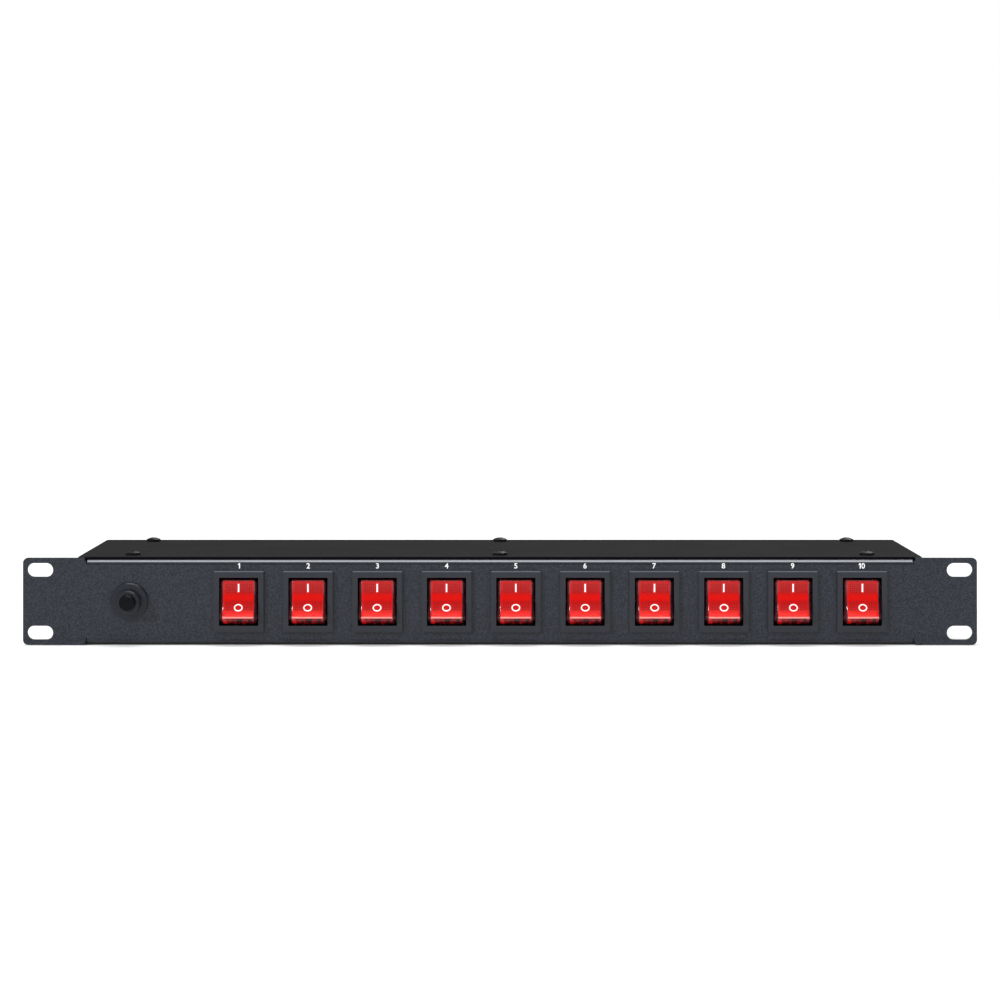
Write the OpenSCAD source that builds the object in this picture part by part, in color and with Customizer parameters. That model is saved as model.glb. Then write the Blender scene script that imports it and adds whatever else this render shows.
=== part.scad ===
// Rack power strip: one rack unit high, ten switched universal outlets.
// Row frame: +X right as seen from the front, +Y into the rack, +Z up.
// Origin: centre of the rack slot pattern, on the rear face of the ears.

/* [Front panel] */
// Width of the front panel over both ears
panel_w = 482.6; // [482:0.1:483]
// Height of the ears
panel_h = 44; // [43.6:0.1:44.4]
// Thickness of the front panel sheet
panel_t = 2; // [1.8:0.1:2.4]
// Distance between the left and right rack slots
slot_dx = 465.1; // [464:0.1:466]
// Distance between the upper and lower rack slots
slot_dz = 31.75; // [31:0.05:32]
// Length of a rack slot, end to end
slot_len = 13; // [11:0.5:14]
// Height of a rack slot
slot_h = 7; // [6.5:0.1:7.4]
// Depth of the folded flanges behind the panel
flange_d = 16; // [14:1:18]

/* [Case] */
// Width of the case over its side walls
case_w = 428; // [427:0.5:430]
// Depth of the case behind the ears
case_d = 100; // [100:0.5:104]
// Thickness of the case sheet
sheet_t = 1.2; // [1:0.1:1.4]
// Distance of the outer cover screws from the middle
screw_x = 187.5; // [186:0.5:188]

/* [Switches] */
// Distance between neighbouring switches
switch_pitch = 35; // [34:0.5:35.5]
// Position of the first switch
switch_x0 = -132; // [-133:0.5:-131]
// Swing of a rocker to each side of its middle
rocker_tilt = 11; // [8:1:11]
// Width of a rocker
rocker_w = 19; // [18.6:0.1:19.2]

/* [Outlets] */
// Distance between neighbouring outlets
outlet_pitch = 35.2; // [34.5:0.1:35.5]
// Position of the first outlet
outlet_x0 = -136.1; // [-137:0.1:-135]
// Width of an outlet's face
outlet_w = 28.4; // [28:0.1:29]
// Height of an outlet's face
outlet_h = 26.8; // [26:0.1:27.5]

/* [Breaker] */
// Position of the breaker
breaker_x = -187.5; // [-189:0.5:-186]
// Diameter of the reset button
button_d = 8; // [7:0.1:8]
// Travel of the reset button when it trips
button_travel = 3.5; // [2:0.5:3.5]

/* [Cord] */
// Position of the cable gland
gland_x = -186; // [-187:0.5:-185]
// Diameter of the power cord
cord_d = 9.5; // [9:0.1:9.5]
// Radius of the widest turn of the coiled cord
coil_r = 59; // [58.5:0.5:59.5]

/* [Hidden] */
$fn = 48;

count = 10;
function sx(i) = switch_x0 + i * switch_pitch;
function ox(i) = outlet_x0 + i * outlet_pitch;

top_z = 21;                      // outside of the folded top and bottom flanges
cover_z = top_z + sheet_t;       // top of the cover
floor_z = -cover_z;              // what the case stands on
flange_half = 208.9;             // half the length of the panel's folded flanges
bend_r = 2.4;                    // outer bend radius of the panel
front_y = 0.8;                   // front edge of the case sheets
screw_y = 12;                    // cover and base screws behind the panel
rear_screw_y = case_d - 10;
bezel_y = -panel_t - 2;          // front face of the switch bezels
pivot_y = bezel_y + 5.3;         // axis of the rockers
rocker_r = 12;                   // ends of the rocker, about its pivot
face_r = 28.7;                   // hollow of the rocker's face
face_c = 34.9;                   // its centre in front of the pivot
arm_y = 17;                      // axis of the moving contacts
face_y = case_d + 2.2;           // face of the outlets
coil_c = [gland_x - 16 + coil_r, 208];
tie_t = 0.8;                     // the coil lies on its ties
cord_r = cord_d / 2;
coil_z = floor_z + tie_t;

PANEL = "#3a3c43";
CASE = "#2b2b2b";
BLACK = "#1d1e20";
OUTLET = "#4a4a4a";
BRASS = "#c9a24a";
STEEL = "#b8b8ba";

// ---------- helpers ----------
// rectangle with rounded corners, centred
module rrect(w, h, r) {
  square([w - 2 * r, h], center = true);
  square([w, h - 2 * r], center = true);
  for (x = [-1, 1], y = [-1, 1]) translate([x * (w / 2 - r), y * (h / 2 - r)]) circle(r);
}
// slot with round ends along x, centred
module slot2(l, h) {
  square([l - h, h], center = true);
  for (x = [-1, 1]) translate([x * (l - h) / 2, 0]) circle(h / 2);
}
// outline with a flat top and a half-round bottom
module dshape(r, c, top) {
  translate([0, c]) circle(r);
  translate([-r, c]) square([2 * r, top - c]);
}
// a shape drawn in x and z, made solid from y0 over t
module at_y(y0, t) translate([0, y0 + t, 0]) rotate([90, 0, 0]) linear_extrude(t) children();
// a shape drawn in y and z, made solid along x, centred
module along_x(w) rotate([90, 0, 90]) linear_extrude(w, center = true) children();
module rod_y(y0, y1, r, x = 0, z = 0, r2 = undef) translate([x, y0, z]) rotate([-90, 0, 0]) cylinder(h = y1 - y0, r1 = r, r2 = is_undef(r2) ? r : r2);
module rod_x(x0, x1, r, y = 0, z = 0) translate([x0, y, z]) rotate([0, 90, 0]) cylinder(h = x1 - x0, r = r);
module box(a, b) translate(a) cube(b - a);

// smooth line through points, n steps between neighbours
function cr(a, b, c, d, t) = 0.5 * (2 * b + (c - a) * t + (2 * a - 5 * b + 4 * c - d) * t * t + (3 * b - a - 3 * c + d) * t * t * t);
function smooth(p, n) = [
  for (i = [0 : len(p) - 2], j = [0 : n - 1])
    cr(p[max(i - 1, 0)], p[i], p[i + 1], p[min(i + 2, len(p) - 1)], j / n),
  p[len(p) - 1]];
function unit(v) = v / norm(v);
// round tube along a line
module tube(p, r, sides = 8) {
  m = len(p);
  rings = [for (i = [0 : m - 1])
    let (t = unit(p[min(i + 1, m - 1)] - p[max(i - 1, 0)]),
         s = unit(cross(t, [0, 0, 1])),
         u = cross(s, t))
    for (k = [0 : sides - 1]) p[i] + r * (cos(360 * k / sides) * s + sin(360 * k / sides) * u)];
  faces = concat(
    [[for (k = [0 : sides - 1]) sides - 1 - k]],
    [for (i = [0 : m - 2], k = [0 : sides - 1]) [i * sides + k, i * sides + (k + 1) % sides, (i + 1) * sides + k]],
    [for (i = [0 : m - 2], k = [0 : sides - 1]) [i * sides + (k + 1) % sides, (i + 1) * sides + (k + 1) % sides, (i + 1) * sides + k]],
    [[for (k = [0 : sides - 1]) (m - 1) * sides + k]]);
  polyhedron(rings, faces, convexity = 6);
}

// ---------- sheet metal ----------
// cross-section of a folded sheet: rounded front corners at y0, open at the back
module channel2(y0, y1, zh, r, t) difference() {
  union() {
    translate([y0 + r, -zh]) square([y1 - y0 - r, 2 * zh]);
    translate([y0, -zh + r]) square([r + 1, 2 * (zh - r)]);
    for (s = [-1, 1]) translate([y0 + r, s * (zh - r)]) circle(r);
  }
  union() {
    translate([y0 + r, -zh + t]) square([y1 - y0, 2 * (zh - t)]);
    translate([y0 + t, -zh + r]) square([r, 2 * (zh - r)]);
    for (s = [-1, 1]) translate([y0 + r, s * (zh - r)]) circle(r - t);
  }
}

module front_panel() color(PANEL) difference() {
  union() {
    at_y(-panel_t, panel_t) {
      difference() {
        rrect(panel_w, panel_h, 2.5);
        square([2 * flange_half + 2.4, panel_h + 2], center = true);
      }
      square([2 * flange_half + 6, 37], center = true);
      // the ears reach in past the small reliefs at the ends of the folds
      for (s = [-1, 1]) translate([s * (flange_half + 1.55), 0]) square([2.3, 40.8], center = true);
    }
    along_x(2 * flange_half) channel2(-panel_t, flange_d, top_z, bend_r, panel_t);
  }
  for (x = [-1, 1], z = [-1, 1]) translate([x * slot_dx / 2, 0, z * slot_dz / 2]) at_y(-panel_t - 1, panel_t + 2) slot2(slot_len, slot_h);
  for (i = [0 : count - 1]) translate([sx(i), 0, 0]) at_y(-panel_t - 1, panel_t + 2) square([22.4, 28.2], center = true);
  rod_y(-panel_t - 1, 1, 6.1, breaker_x);
  for (x = [-1, 0, 1]) translate([x * screw_x, screw_y, -25]) cylinder(h = 50, r = 1.95);
}

module chassis_tray() color(CASE) difference() {
  union() {
    // bottom and side walls
    at_y(front_y, case_d - 1.4 - front_y) difference() {
      union() {
        translate([-case_w / 2, floor_z + 1.6]) square([case_w, top_z - floor_z - 1.6]);
        translate([-case_w / 2 + 1.6, floor_z]) square([case_w - 3.2, 4]);
        for (s = [-1, 1]) translate([s * (case_w / 2 - 1.6), floor_z + 1.6]) circle(1.6);
      }
      translate([-case_w / 2 + sheet_t, floor_z + 1.6]) square([case_w - 2 * sheet_t, 60]);
      translate([-case_w / 2 + 1.6, floor_z + sheet_t]) square([case_w - 3.2, 4]);
      for (s = [-1, 1]) translate([s * (case_w / 2 - 1.6), floor_z + 1.6]) circle(1.6 - sheet_t);
    }
    // inward flanges on top of the side walls
    for (s = [-1, 1]) translate([s * (case_w / 2 - 6), 51, top_z - sheet_t / 2]) cube([12, 62, sheet_t], center = true);
    // rear wall with its top flange
    mirror([0, 1, 0]) translate([0, 0, (top_z + floor_z) / 2]) along_x(case_w - 3.2)
      difference() {
        channel2(-case_d, -case_d + 16, (top_z - floor_z) / 2, 1.6, sheet_t);
      }
    for (s = [-1, 1]) translate([s * (case_w / 2 - 3), case_d - sheet_t / 2, (top_z + floor_z) / 2]) cube([6, sheet_t, top_z - floor_z - 3.2], center = true);
  }
  for (i = [0 : count - 1]) translate([ox(i), 0, 0]) at_y(case_d - 3, 5) square([27.2, 24.6], center = true);
  rod_y(case_d - 3, case_d + 2, 10.2, gland_x);
  for (x = [-1, 0, 1]) {
    translate([x * screw_x, rear_screw_y, top_z - 4]) cylinder(h = 8, r = 1.95);
    translate([x * screw_x, screw_y, floor_z - 0.01]) cylinder(h = sheet_t + 0.02, r1 = 3.5, r2 = 2.1);
  }
}

module top_cover() color(CASE) difference() {
  translate([0, (front_y + case_d) / 2, top_z]) linear_extrude(sheet_t) rrect(case_w, case_d - front_y, 1.2);
  for (x = [-1, 0, 1], y = [screw_y, rear_screw_y]) translate([x * screw_x, y, top_z - 1]) cylinder(h = 4, r = 2.2);
}

// pan-head screw standing on z = 0, pointing down
module pan_screw(l) difference() {
  union() {
    rotate_extrude() intersection() {
      translate([0, -5.2]) circle(7.4, $fn = 96);
      square([3.75, 3]);
    }
    translate([0, 0, -l]) cylinder(h = l + 0.1, r = 1.9);
  }
  for (a = [0, 90]) rotate([0, 0, a]) translate([-2, -0.45, 0.9]) cube([4, 0.9, 4]);
}

module cover_screws() color(BLACK)
  for (x = [-1, 0, 1], y = [screw_y, rear_screw_y]) translate([x * screw_x, y, cover_z]) rotate([0, 0, 20 + 30 * x + y]) pan_screw(6);

module base_screws() color(BLACK)
  for (x = [-1, 0, 1]) translate([x * screw_x, screw_y, floor_z]) difference() {
    union() {
      cylinder(h = sheet_t, r1 = 3.4, r2 = 2.0);
      translate([0, 0, sheet_t - 0.1]) cylinder(h = 5, r = 1.9);
    }
    for (a = [0, 90]) rotate([0, 0, 35 + a]) translate([-1.9, -0.4, -1]) cube([3.8, 0.8, 1.8]);
  }

// ---------- switches ----------
module switch_housings() color(BLACK)
  for (i = [0 : count - 1]) translate([sx(i), 0, 0]) difference() {
    union() {
      at_y(bezel_y, 0.6) rrect(24.9, 30.3, 0.8);
      at_y(bezel_y + 0.6, 1.4) rrect(25.6, 31, 1);
      at_y(-panel_t, 22.2 + panel_t) rrect(22, 27.8, 0.8);
      for (s = [0, 1]) mirror([0, 0, s]) along_x(9) polygon([[0.15, 13.8], [0.15, 14.8], [1.2, 14.8], [6, 13.9], [6, 13.8]]);
    }
    translate([0, 8, 0]) cube([19.8, 26, 24.3], center = true);
    rod_x(-10.8, 10.8, 1.55, pivot_y);
    for (z = [-8, 0, 8]) translate([0, 21, z]) cube([6.4, 4, 0.9], center = true);
  }

module rocker_section(r, back, f) difference() {
  intersection() {
    circle(r);
    translate([-20, -20]) square([20 + back, 40]);
  }
  translate([-face_c, 0]) circle(f, $fn = 128);
}
module rocker(i) color("red") translate([sx(i), pivot_y, 0]) rotate([-rocker_tilt, 0, 0]) {
  difference() {
    along_x(rocker_w) rocker_section(rocker_r, 2.5, face_r);
    // bevels along both sides of the face
    for (s = [0, 1]) mirror([s, 0, 0]) translate([rocker_w / 2 - 1.2, -face_c, 0]) rotate([0, 90, 0]) cylinder(h = 1.3, r1 = face_r, r2 = face_r + 1.5, $fn = 128);
    along_x(rocker_w - 2.8) rocker_section(rocker_r - 1.4, 3, face_r + 1.5);
  }
  // cross ribs inside the shell
  for (s = [-1, 1]) box([-rocker_w / 2 + 1, -5.8, s * 6.15 - 0.8], [rocker_w / 2 - 1, 2.4, s * 6.15 + 0.8]);
  rod_y(-5.2, 13, 2);
  translate([0, 13, 0]) sphere(2);
  rod_x(rocker_w / 2 - 0.3, 10.6, 1.5);
  rod_x(-10.6, -rocker_w / 2 + 0.3, 1.5);
}

// rocking contact under each rocker's stem
module contact_arm(i) color(BRASS) translate([sx(i), arm_y, 0]) rotate([rocker_tilt / 2, 0, 0]) {
  cube([4, 0.8, 14.5], center = true);
  rod_y(0.3, 1, 1.4, 0, -6.2);
}

module switch_terminals() color(STEEL)
  for (i = [0 : count - 1]) translate([sx(i), 0, 0]) {
    box([-3.15, 17.6, -0.4], [3.15, 33, 0.4]);
    box([-3.15, 19.4, 7.6], [3.15, 33, 8.4]);
    union() {
      box([-3.15, 19.4, -8.4], [3.15, 33, -7.6]);
      box([-2, 19.4, -8], [2, 20.2, -4.8]);
      rod_y(18.85, 19.6, 1.4, 0, -6.2);
    }
  }

module switch_lamps() color("orange")
  for (i = [0 : count - 1]) translate([sx(i), 0, 0]) {
    rod_x(-4, 4, 1.5, 8, 6);
    for (x = [-3.4, 3.4]) rod_y(8, 21, 0.35, x, 6);
  }

// ---------- outlets ----------
module outlet(i) color(OUTLET) translate([ox(i), 0, 0]) difference() {
  union() {
    at_y(case_d, 1.6) rrect(outlet_w, outlet_h, 1.8);
    at_y(case_d + 1.6, 0.6) rrect(outlet_w - 0.7, outlet_h - 0.7, 1.5);
    at_y(case_d - 24, 24.5) rrect(27, 24.4, 0.8);
    for (s = [0, 1]) mirror([0, 0, s]) along_x(10) polygon([[case_d - 1.35, 12], [case_d - 1.35, 13], [case_d - 2.4, 13], [case_d - 7, 12.2], [case_d - 7, 12]]);
  }
  // round-pin and flat-pin openings, with the pockets for their contacts
  for (s = [0, 1]) mirror([s, 0, 0]) {
    rod_y(case_d - 4, case_d + 4, 3, 9.5, -6.3);
    box([5.2, case_d - 4, -10.9], [7.2, case_d + 4, -1.7]);
    translate([6, 0, -6.8]) rotate([0, 20, 0]) box([-0.9, case_d - 4, -4.4], [0.9, case_d + 4, 0]);
    box([4.2, case_d - 22, -11.1], [12.9, case_d - 2.8, -1.5]);
    // hollow of the face
    translate([6.5, face_y - 0.8 + 20.7, -11.5]) cylinder(h = 10.3, r = 20.7, $fn = 96);
  }
  // earth opening
  at_y(face_y - 1.2, 3) dshape(3.97, 6.45, 9.9);
  at_y(case_d - 5, 10) dshape(2.6, 6, 9.4);
  box([-3.6, case_d - 22, 2.8], [3.6, case_d - 2.8, 10]);
  // slits for the solder tags
  box([6.9, case_d - 25, -3.8], [11.1, case_d - 21, -2.8]);
  box([-11.1, case_d - 25, -9.8], [-6.9, case_d - 21, -8.8]);
  box([-2.1, case_d - 25, 5.9], [2.1, case_d - 21, 6.9]);
}

module pin_contact(tag_z) {
  y0 = case_d - 21.9;
  box([4.6, y0, -9.7], [12.85, y0 + 0.8, -2.9]);
  box([4.6, y0 + 0.7, -9.3], [5.1, case_d - 3.2, -3.3]);
  difference() {
    rod_y(y0 + 0.7, case_d - 3.2, 3.35, 9.5, -6.3);
    rod_y(y0 + 0.8, case_d - 3, 3, 9.5, -6.3);
    box([5, y0 + 0.8, -11], [7.4, case_d, 0]);
  }
  // bent tips of the sprung leaves, at the mouth
  box([8.9, case_d - 4.4, -9.5], [10.1, case_d - 3.2, -8.5]);
  box([11.75, case_d - 4.4, -5.9], [12.7, case_d - 3.2, -4.9]);
  box([7, case_d - 32, tag_z - 0.4], [11, y0 + 0.1, tag_z + 0.4]);
}
module outlet_contacts() color(BRASS)
  for (i = [0 : count - 1]) translate([ox(i), 0, 0]) {
    pin_contact(-3.3);
    mirror([1, 0, 0]) pin_contact(-9.3);
    union() {
      y0 = case_d - 21.9;
      box([-3.4, y0, 3], [3.4, y0 + 0.8, 9.8]);
      for (s = [0, 1]) mirror([s, 0, 0]) box([2.65, y0 + 0.7, 3.4], [3.15, case_d - 3.2, 9.6]);
      box([-2.9, case_d - 4.4, 3.4], [2.9, case_d - 3.2, 4.2]);
      box([-2.9, case_d - 4.4, 9.3], [2.9, case_d - 3.2, 9.7]);
      for (x = [-1.3, 0.5]) box([x, case_d - 4.4, 9], [x + 0.8, case_d - 3.2, 9.4]);
      box([-2, case_d - 32, 6], [2, y0 + 0.1, 6.8]);
    }
  }

// ---------- breaker ----------
module breaker_housing() color(BLACK) translate([breaker_x, 0, 0]) difference() {
  union() {
    at_y(0.05, 27) rrect(15.2, 29, 1);
    rod_y(-panel_t - 6, 1, 6);
    rod_y(-panel_t - 6.6, -panel_t - 6, 5.5, r2 = 6);
  }
  rod_y(-20, 2, button_d / 2 + 0.1);
  rod_y(1.2, 10, 5.3);
  for (z = [-8, 8]) translate([0, 27, z]) cube([6.5, 12, 1], center = true);
}
module breaker_button() color(BLACK) translate([breaker_x, 0, 0]) {
  rod_y(-panel_t - 9, 6, button_d / 2);
  rod_y(-panel_t - 9.5, -panel_t - 9, button_d / 2 - 0.5, r2 = button_d / 2);
  rod_y(5, 6.4, 5.1);
}
module breaker_ring_nut() color(BLACK) translate([breaker_x, 0, 0]) difference() {
  union() {
    rod_y(-panel_t - 1.5, -panel_t, 9.5);
    rod_y(-panel_t - 2, -panel_t - 1.5, 9, r2 = 9.5);
  }
  rod_y(-20, 5, 6.05);
  for (a = [0 : 10 : 350]) rotate([0, a, 0]) rod_y(-panel_t - 3, -panel_t + 1, 0.4, 9.65);
}
module breaker_terminals() color(STEEL) for (z = [-8, 8]) translate([breaker_x, 0, z]) box([-3.15, 21.2, -0.4], [3.15, 38, 0.4]);

// ---------- cable gland ----------
module gland_body() color(BLACK) translate([gland_x, 0, 0]) difference() {
  union() {
    rod_y(case_d - 12, case_d + 13, 10);
    translate([0, case_d, 0]) rotate([-90, 0, 0]) cylinder(h = 5, r = 24 / sqrt(3), $fn = 6);
    translate([0, case_d + 13, 0]) rotate([-90, 0, 0]) cylinder(h = 3.5, r = 8);
    rod_y(case_d + 16.5, case_d + 18, 8, r2 = 7);
  }
  rod_y(0, 300, 6.5);
  // bell mouth for the cores inside the case
  rod_y(case_d - 12.01, case_d - 7, 9, r2 = 6.5);
  for (a = [0 : 45 : 135]) translate([0, case_d + 16, 0]) rotate([0, a + 22.5, 0]) cube([30, 5, 0.8], center = true);
}
module gland_locknut() color(BLACK) translate([gland_x, case_d - sheet_t - 4.5, 0]) difference() {
  rotate([-90, 0, 0]) cylinder(h = 4.5, r = 26 / sqrt(3), $fn = 6);
  rod_y(-1, 6, 10.05);
}
module gland_seal() color("#111111") translate([gland_x, 0, 0]) difference() {
  rod_y(case_d + 4, case_d + 18.5, 6.4);
  rod_y(0, 300, cord_r + 0.05);
}
module gland_dome_nut() color(BLACK) translate([gland_x, case_d, 0]) difference() {
  union() {
    rotate([-90, 0, 0]) rotate_extrude() polygon([[0, 5.3], [11.6, 5.3], [11.6, 14], [11.3, 17.5], [10.6, 20.2], [9.5, 21.6], [8.4, 22], [0, 22]]);
    translate([0, 5.3, 0]) rotate([-90, 0, 0]) rotate([0, 0, 12]) cylinder(h = 8, r = 24 / sqrt(3), $fn = 6);
  }
  rotate([-90, 0, 0]) rotate_extrude() polygon([[0, 5], [10.05, 5], [10.05, 13.5], [8.2, 17.2], [7.5, 18.4], [6.7, 19.2], [6.7, 20.8], [7.7, 22.01], [0, 22.01]]);
}

// ---------- wiring ----------
lead_paths = [
  // live core to the breaker, neutral core, earth core to the stud
  [[-186, 96, 2.4], [-187, 84, 3.6], [-190, 70, 6.6], [-189, 55, 8.6], [-187.5, 45, 8], [-187.5, 38.3, 8]],
  [[-188.2, 96, -1.4], [-187, 84, -4], [-178, 74, -8.4], [-165, 71, -10], [-155, 71, -10.1], [-148.5, 71, -10.1]],
  [[-183.8, 96, -1.4], [-181, 84, -7], [-175, 73, -14], [-167, 62, -15.4], [-163, 55.4, -15]],
  // breaker to the live bus, stud to the earth bus
  [[-187.5, 38.3, -8], [-187.4, 44, -8], [-179, 50, -5], [-164, 46, -1], [-150, 35, 0.6], [-142, 30, 0.8], [-136.9, 29.5, 0.85]],
  [[-157, 55.4, -15], [-152, 62, -11], [-147, 67, -3], [-145, 70, 4], [-142.5, 71, 7], [-139.5, 71, 7.2]]];
module supply_leads() for (k = [0 : 4]) color(["saddlebrown", "royalblue", "yellowgreen", "saddlebrown", "yellowgreen"][k]) tube(smooth(lead_paths[k], 4), 1.5, 8);

module live_bus() color("saddlebrown") box([sx(0) - 4.6, 27.5, 0.45], [sx(count - 1) + 4, 31.5, 1.25]);
module switched_wires() color("firebrick")
  for (i = [0 : count - 1]) tube(smooth([[sx(i), 33.3, -8], [sx(i), 40, -8.6], [(sx(i) + ox(i) + 9) / 2, 51, -7], [ox(i) + 9, 61, -3.8], [ox(i) + 9, 67.8, -3.3]], 3), 1.3, 8);
module lamp_wires() color("royalblue") {
  box([sx(0) - 4.6, 28, 8.45], [sx(count - 1) + 4, 30, 9.25]);
  tube(smooth([[-137.6, 29, 8.85], [-142, 32, 8.6], [-150, 44, 3], [-156, 56, -5], [-155, 66, -8.4], [-150, 69.5, -7], [-148.2, 70.9, -7.2]], 3), 0.9, 8);
}
module neutral_bus() color(BRASS) box([ox(0) - 12, 69, -10.5], [ox(count - 1) - 6, 73, -9.72]);
module earth_bus() color(BRASS) box([ox(0) - 3.2, 69, 6.82], [ox(count - 1) + 3.2, 73, 7.6]);
module earth_stud() color(STEEL) translate([-160, 55, 0]) {
  translate([0, 0, floor_z + sheet_t]) cylinder(h = 10, r = 2);
  translate([0, 0, floor_z + sheet_t + 1]) difference() {
    cylinder(h = 3.2, r = 7 / sqrt(3), $fn = 6);
    translate([0, 0, -1]) cylinder(h = 6, r = 2.05);
  }
}

// ---------- power cord ----------
lead_route = [[-186, 96, 0], [-186, 110, 0], [-186.2, 124, 0], [-187.6, 137, -1.2], [-191, 150, -4.8], [-196, 163, -9.8], [-201.4, 176, -14.2], [-205.6, 189, -16.4], [-207.4, 202, -16.7], [-206.6, 215, -16.7], [-203, 228, -16.7]];
// leaves the top of the coil, comes down beside it and runs to the plug
tail_route = [[-127.7, 265, -7], [-118, 262.4, -7], [-108.4, 259.8, -7.3], [-98.7, 257.2, -8.6], [-89.1, 254.6, -10.9], [-79.4, 252.1, -13.4], [-69.7, 249.5, -15.6], [-60.1, 246.9, -16.9], [-50.4, 244.3, -17.4], [-40.8, 241.7, -17.4]];
module power_cord() color("#161616") tube(smooth(lead_route, 1), cord_r, 10);
module cord_tail() color("#161616") tube(smooth(tail_route, 1), cord_r, 10);
module cord_coil() color("#161616") translate([coil_c[0], coil_c[1], coil_z])
  rotate_extrude($fn = 96) polygon([[coil_r - 24.1, 0], [coil_r + 4.9, 0], [coil_r + 4.9, 9.7], [coil_r - 0.4, 19.2], [coil_r - 24.1, 19.2]]);
// straps round the coil
module cord_ties() color("#0c0c0c") translate([coil_c[0], coil_c[1], floor_z]) for (a = [20, -70]) rotate([0, 0, a]) rotate([90, 0, 0]) linear_extrude(12, center = true) difference() {
  polygon([[coil_r - 25.6, 0], [coil_r + 5.9, 0], [coil_r + 5.9, 11.2], [coil_r + 0.5, 21], [coil_r - 25.6, 21]]);
  polygon([[coil_r - 24.8, tie_t], [coil_r + 5.1, tie_t], [coil_r + 5.1, 10.9], [coil_r - 0.1, 20.2], [coil_r - 24.8, 20.2]]);
}
plug_at = [-40.8, 241.7, 0];
plug_turn = -15;
plug_z = floor_z + 12;
module plug_body() color("#161616") translate(plug_at) rotate([0, 0, plug_turn]) {
  // strain relief
  difference() {
    translate([0, 0, -17.4]) rotate([0, 90, 0]) cylinder(h = 24, r1 = cord_r + 0.05, r2 = 6);
    box([-2, -20, floor_z - 20], [30, 20, floor_z]);
  }
  // grip
  translate([23.8, 0, plug_z]) rotate([90, 0, 90]) {
    linear_extrude(9) rrect(19, 18, 5);
    translate([0, 0, 8.9]) linear_extrude(26) rrect(25, 24, 6);
  }
}
module plug_pins() color(BRASS) translate(plug_at) rotate([0, 0, plug_turn]) translate([58.7, 0, plug_z]) {
  for (s = [-1, 1]) translate([0, s * 6.35, 3]) box([0, -0.75, -3.2], [17.5, 0.75, 3.2]);
  rod_x(0, 20, 2.35, 0, -7.4);
}

front_panel();
chassis_tray();
top_cover();
cover_screws();
base_screws();
switch_housings();
rocker(0);  // rocker_01
rocker(1);  // rocker_02
rocker(2);  // rocker_03
rocker(3);  // rocker_04
rocker(4);  // rocker_05
rocker(5);  // rocker_06
rocker(6);  // rocker_07
rocker(7);  // rocker_08
rocker(8);  // rocker_09
rocker(9);  // rocker_10
contact_arm(0);  // contact_arm_01
contact_arm(1);  // contact_arm_02
contact_arm(2);  // contact_arm_03
contact_arm(3);  // contact_arm_04
contact_arm(4);  // contact_arm_05
contact_arm(5);  // contact_arm_06
contact_arm(6);  // contact_arm_07
contact_arm(7);  // contact_arm_08
contact_arm(8);  // contact_arm_09
contact_arm(9);  // contact_arm_10
switch_terminals();
switch_lamps();
outlet(0);  // outlet_01
outlet(1);  // outlet_02
outlet(2);  // outlet_03
outlet(3);  // outlet_04
outlet(4);  // outlet_05
outlet(5);  // outlet_06
outlet(6);  // outlet_07
outlet(7);  // outlet_08
outlet(8);  // outlet_09
outlet(9);  // outlet_10
outlet_contacts();
breaker_housing();
breaker_button();
breaker_ring_nut();
breaker_terminals();
gland_body();
gland_locknut();
gland_seal();
gland_dome_nut();
supply_leads();
live_bus();
switched_wires();
lamp_wires();
neutral_bus();
earth_bus();
earth_stud();
power_cord();
cord_coil();
cord_tail();
cord_ties();
plug_body();
plug_pins();
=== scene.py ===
import bpy, bmesh, math
from mathutils import Vector, Matrix


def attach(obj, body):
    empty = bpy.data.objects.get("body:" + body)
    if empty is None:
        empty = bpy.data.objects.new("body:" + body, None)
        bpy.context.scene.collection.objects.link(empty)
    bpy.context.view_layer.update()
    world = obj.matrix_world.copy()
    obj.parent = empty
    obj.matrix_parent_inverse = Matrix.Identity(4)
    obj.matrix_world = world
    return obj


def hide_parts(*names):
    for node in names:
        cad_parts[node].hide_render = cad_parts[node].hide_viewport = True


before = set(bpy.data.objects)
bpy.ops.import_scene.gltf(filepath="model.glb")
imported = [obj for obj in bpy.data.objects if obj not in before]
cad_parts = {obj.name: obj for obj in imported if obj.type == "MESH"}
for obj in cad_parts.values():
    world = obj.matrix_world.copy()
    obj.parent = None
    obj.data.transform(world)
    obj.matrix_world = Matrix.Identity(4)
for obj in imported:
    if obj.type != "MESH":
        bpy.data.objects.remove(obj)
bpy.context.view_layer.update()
MM = 0.001
CASE = "case"
N = 10
SX = [-132 + 35 * i for i in range(N)]
OX = [-136.1 + 35.2 * i for i in range(N)]
FLOOR = -22.2
scene = bpy.context.scene
scene.view_settings.view_transform = "Standard"


# ---------------------------------------------------------------- camera
cam_data = bpy.data.cameras.new("camera")
cam = bpy.data.objects.new("camera", cam_data)
scene.collection.objects.link(cam)
CAM_D, CAM_H, PX = 1309.0, 147.0, 1.977
cam.location = (0, -(CAM_D + 2) * MM, CAM_H * MM)
cam.rotation_euler = (math.radians(90), 0, 0)
cam_data.sensor_width = 36
cam_data.lens = 36 * CAM_D * PX / 1000
cam_data.shift_y = -(CAM_H * PX - 101.4) / 1000
cam_data.clip_end = 50
scene.camera = cam


# ---------------------------------------------------------------- materials
def srgb(r, g, b):
    f = lambda c: (c / 255 / 12.92) if c / 255 <= 0.04045 else ((c / 255 + 0.055) / 1.055) ** 2.4
    return (f(r), f(g), f(b), 1)


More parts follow.
